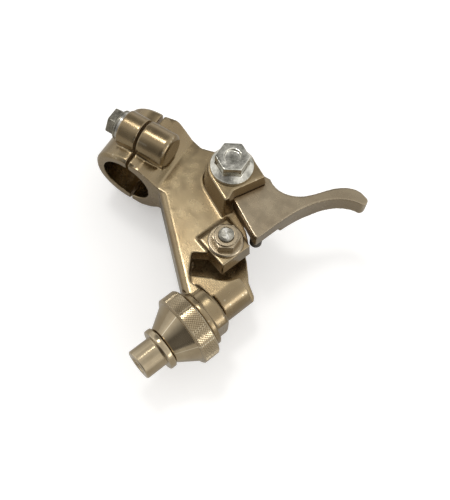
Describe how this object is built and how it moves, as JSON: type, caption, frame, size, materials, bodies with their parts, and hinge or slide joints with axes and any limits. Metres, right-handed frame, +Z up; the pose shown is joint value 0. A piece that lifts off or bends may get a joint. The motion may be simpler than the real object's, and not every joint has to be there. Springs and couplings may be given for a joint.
{
  "type": "handlebar clutch lever perch",
  "caption": "Cast handlebar clutch-lever perch with split bar clamp, short auxiliary lever and knurled cable adjuster.",
  "frame": {"origin": "on the handlebar's axis, in the plane of the two clamp bolts", "axes": "+X along the handlebar towards the adjuster's end, +Y forward from the bar, +Z up, square to the plate"},
  "size_m": [0.1058, 0.1072, 0.0526],
  "materials": {
    "cast_aluminium": "satin cast, warm champagne tint",
    "turned_aluminium": "turned and polished, warm tint",
    "zinc_steel": "bright zinc plated",
    "chrome_steel": "bright plated",
    "black_steel": "black oxide",
    "spring_steel": "plain",
    "bronze_bush": "sintered",
    "seal_rubber": "matt"
  },
  "bodies": {
    "perch": {"perch_body": "cast_aluminium", "clamp_cap": "cast_aluminium", "clamp_bolts": "zinc_steel", "clamp_washers": "zinc_steel", "lever_pivot_bolt": "chrome_steel", "lever_pivot_sleeve": "bronze_bush", "lever_pivot_nut": "zinc_steel", "lever_thrust_washer": "bronze_bush", "lever_wave_washer": "spring_steel", "clutch_pivot_bolt": "zinc_steel", "clutch_pivot_washer": "cast_aluminium", "clutch_pivot_nut": "cast_aluminium", "adjuster_key_screw": "black_steel", "adjuster_retaining_ring": "spring_steel", "detent_ball": "chrome_steel", "detent_spring": "spring_steel", "wheel_seal": "seal_rubber"},
    "lever": {"auxiliary_lever": "cast_aluminium", "lever_cable_pin": "black_steel"},
    "wheel": {"adjuster_wheel": "turned_aluminium", "barrel_seal": "seal_rubber"},
    "barrel": {"adjuster_barrel": "turned_aluminium"}
  },
  "joints": [
    {"name": "lever_swing", "type": "hinge", "parent": "perch", "child": "lever", "pos_m": [-0.006, 0.0392, 0.012], "axis": [0, 0, 1], "range_deg": [0, 25]},
    {"name": "wheel_turn", "type": "hinge", "parent": "perch", "child": "wheel", "pos_m": [0.05004, 0.05807, 0], "axis": [-0.9455, 0.3256, 0], "range_deg": [0, 1081]},
    {"name": "barrel_slide", "type": "slide", "parent": "perch", "child": "barrel", "axis": [0.9455, -0.3256, 0], "range_m": [0, 0.0045]}
  ],
  "couplings": [
    {"joint": "wheel_turn", "follows": "barrel_slide", "rad_per_m": 4188.8}
  ]
}
